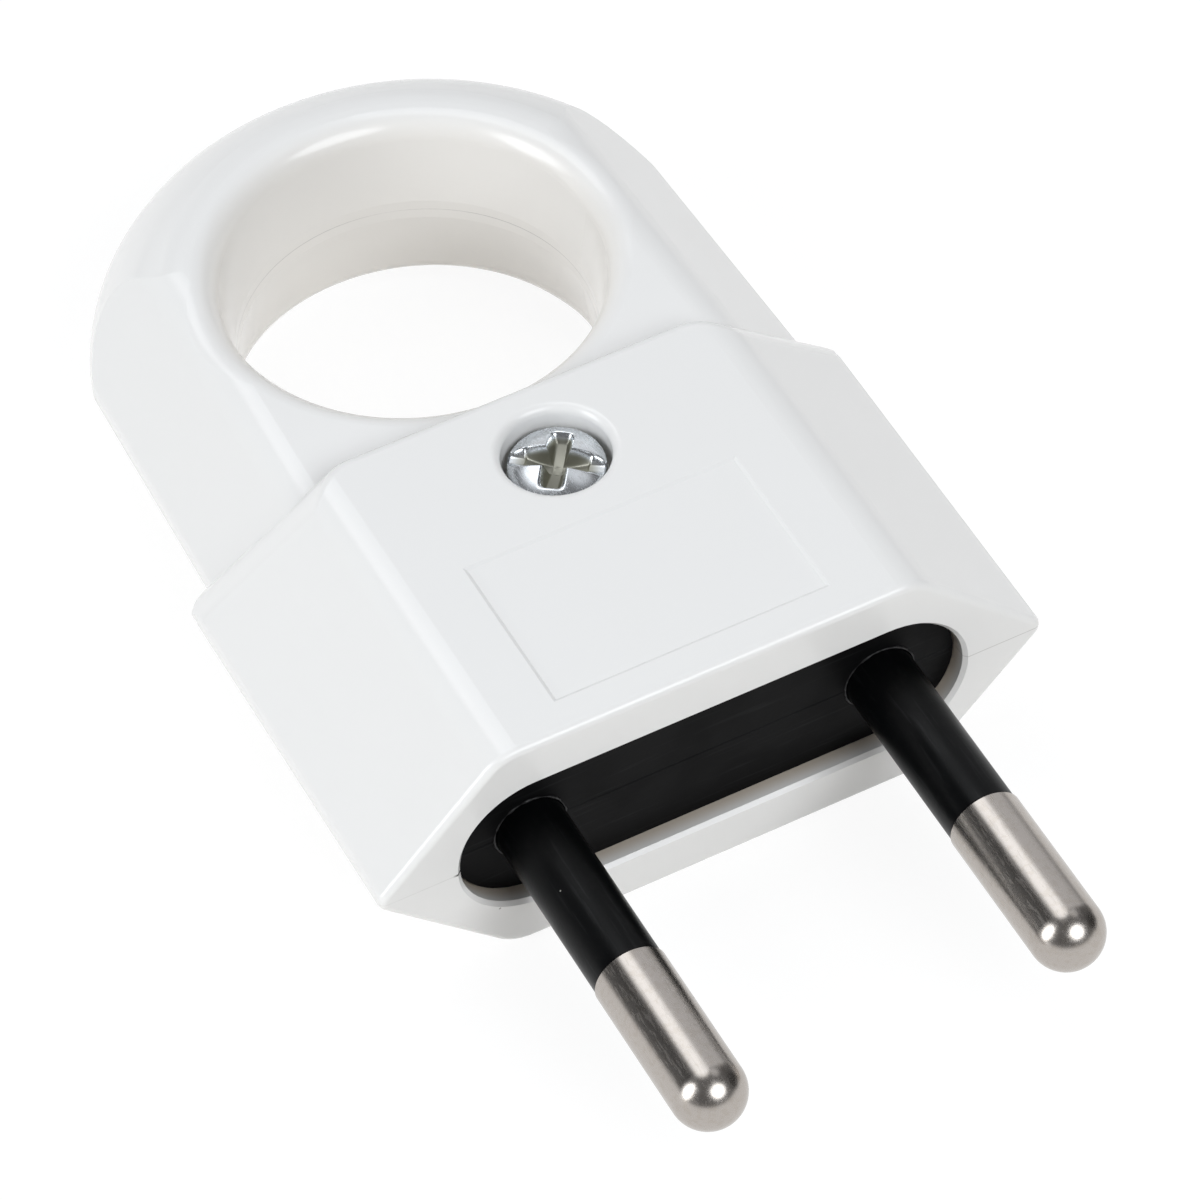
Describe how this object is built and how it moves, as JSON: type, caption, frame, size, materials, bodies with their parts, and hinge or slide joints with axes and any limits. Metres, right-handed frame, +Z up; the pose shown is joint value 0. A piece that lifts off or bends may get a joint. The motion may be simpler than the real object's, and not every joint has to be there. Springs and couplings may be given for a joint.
{
  "type": "flat electrical plug",
  "caption": "Flat white mains plug with a finger ring at the back, a black pin carrier at the front and sleeved round pins.",
  "frame": {"origin": "middle of the outer box on the surface that the plug lies on", "axes": "+X towards the right pin with the ring at the back, +Y from the pins to the finger ring, +Z up from the flat lower face"},
  "size_m": [0.036, 0.0676, 0.014],
  "materials": {
    "white_shell": "gloss, soft edges",
    "black_carrier": "semi-matt",
    "black_sleeve": "satin",
    "nickel_pin": "nickel plated, polished",
    "zinc_steel": "zinc plated"
  },
  "bodies": {
    "root": {"upper_shell": "white_shell", "lower_shell": "white_shell", "carrier_upper": "black_carrier", "carrier_lower": "black_carrier", "pin_left": "nickel_pin", "pin_right": "nickel_pin", "sleeve_left": "black_sleeve", "sleeve_right": "black_sleeve", "terminal_screw_left": "zinc_steel", "terminal_screw_right": "zinc_steel", "housing_screw": "zinc_steel", "housing_nut": "zinc_steel"}
  },
  "joints": []
}
